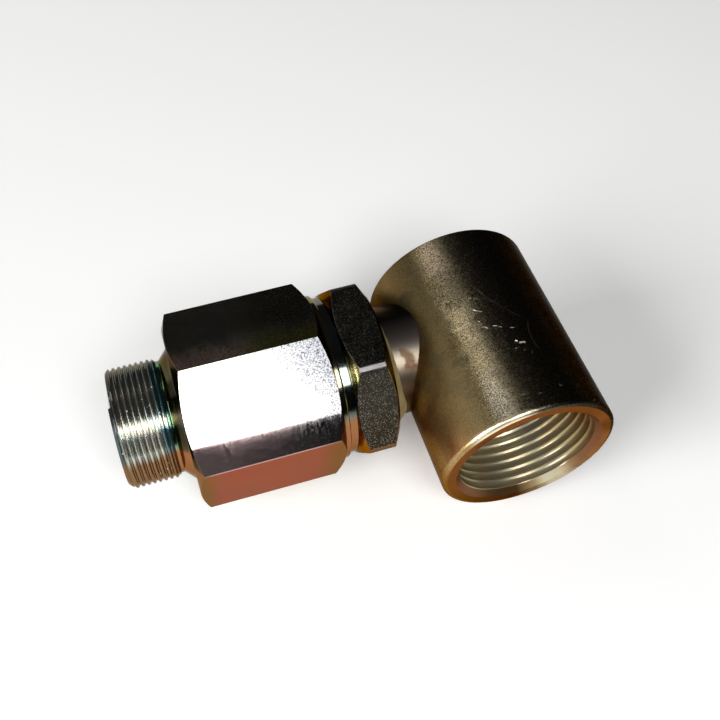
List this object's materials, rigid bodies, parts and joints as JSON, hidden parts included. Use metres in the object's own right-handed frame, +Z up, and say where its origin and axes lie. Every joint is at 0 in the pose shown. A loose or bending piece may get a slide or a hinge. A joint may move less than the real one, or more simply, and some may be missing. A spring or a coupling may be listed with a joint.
{
  "type": "hose reel joint",
  "caption": "Right-angle swivel joint: a hexagonal housing with a male threaded spigot carries a hollow stem that turns freely with a round cross barrel tapped for a pipe.",
  "frame": {"origin": "on the swivel axis, in the middle of the spigot's male thread", "axes": "+X along the swivel axis from the spigot to the cross barrel; the barrel's axis lies along Y with its open mouth towards -Y; +Z up"},
  "size_m": [0.1094, 0.0568, 0.0466],
  "materials": {
    "plated_body": "bright turned and milled flats, yellow zinc plate",
    "plated_nut": "dull yellow zinc plate",
    "plated_barrel": "olive-gold zinc plate with turning marks",
    "bare_steel": "ground",
    "bearing_steel": "polished",
    "bronze": "turned",
    "polyurethane": "matte",
    "seal_plastic": "satin",
    "nitrile": "matte"
  },
  "bodies": {
    "housing": {"hex_body": "plated_body", "gland_nut": "plated_nut", "front_bush": "bronze", "front_race": "bearing_steel", "wiper_ring": "polyurethane", "rear_bush": "bronze", "thrust_washer": "bronze", "main_seal_ring": "seal_plastic", "main_seal_o_ring": "nitrile"},
    "rotor": {"stem": "bare_steel", "cross_barrel": "plated_barrel", "stem_o_ring": "nitrile"},
    "ball_row": {"thrust_ball_01": "bearing_steel", "thrust_ball_02": "bearing_steel", "thrust_ball_03": "bearing_steel", "thrust_ball_04": "bearing_steel", "thrust_ball_05": "bearing_steel", "thrust_ball_06": "bearing_steel", "thrust_ball_07": "bearing_steel", "thrust_ball_08": "bearing_steel", "thrust_ball_09": "bearing_steel", "thrust_ball_10": "bearing_steel", "thrust_ball_11": "bearing_steel", "thrust_ball_12": "bearing_steel", "thrust_ball_13": "bearing_steel", "thrust_ball_14": "bearing_steel", "thrust_ball_15": "bearing_steel", "thrust_ball_16": "bearing_steel", "thrust_ball_17": "bearing_steel", "thrust_ball_18": "bearing_steel"}
  },
  "joints": [
    {"name": "swivel", "type": "hinge", "parent": "housing", "child": "rotor", "pos_m": [0, 0, 0], "axis": [1, 0, 0], "continuous": true},
    {"name": "ball_orbit", "type": "hinge", "parent": "housing", "child": "ball_row", "pos_m": [0.0304, 0, 0], "axis": [1, 0, 0], "continuous": true}
  ],
  "couplings": [
    {"joint": "ball_orbit", "follows": "swivel", "ratio": 0.5}
  ]
}
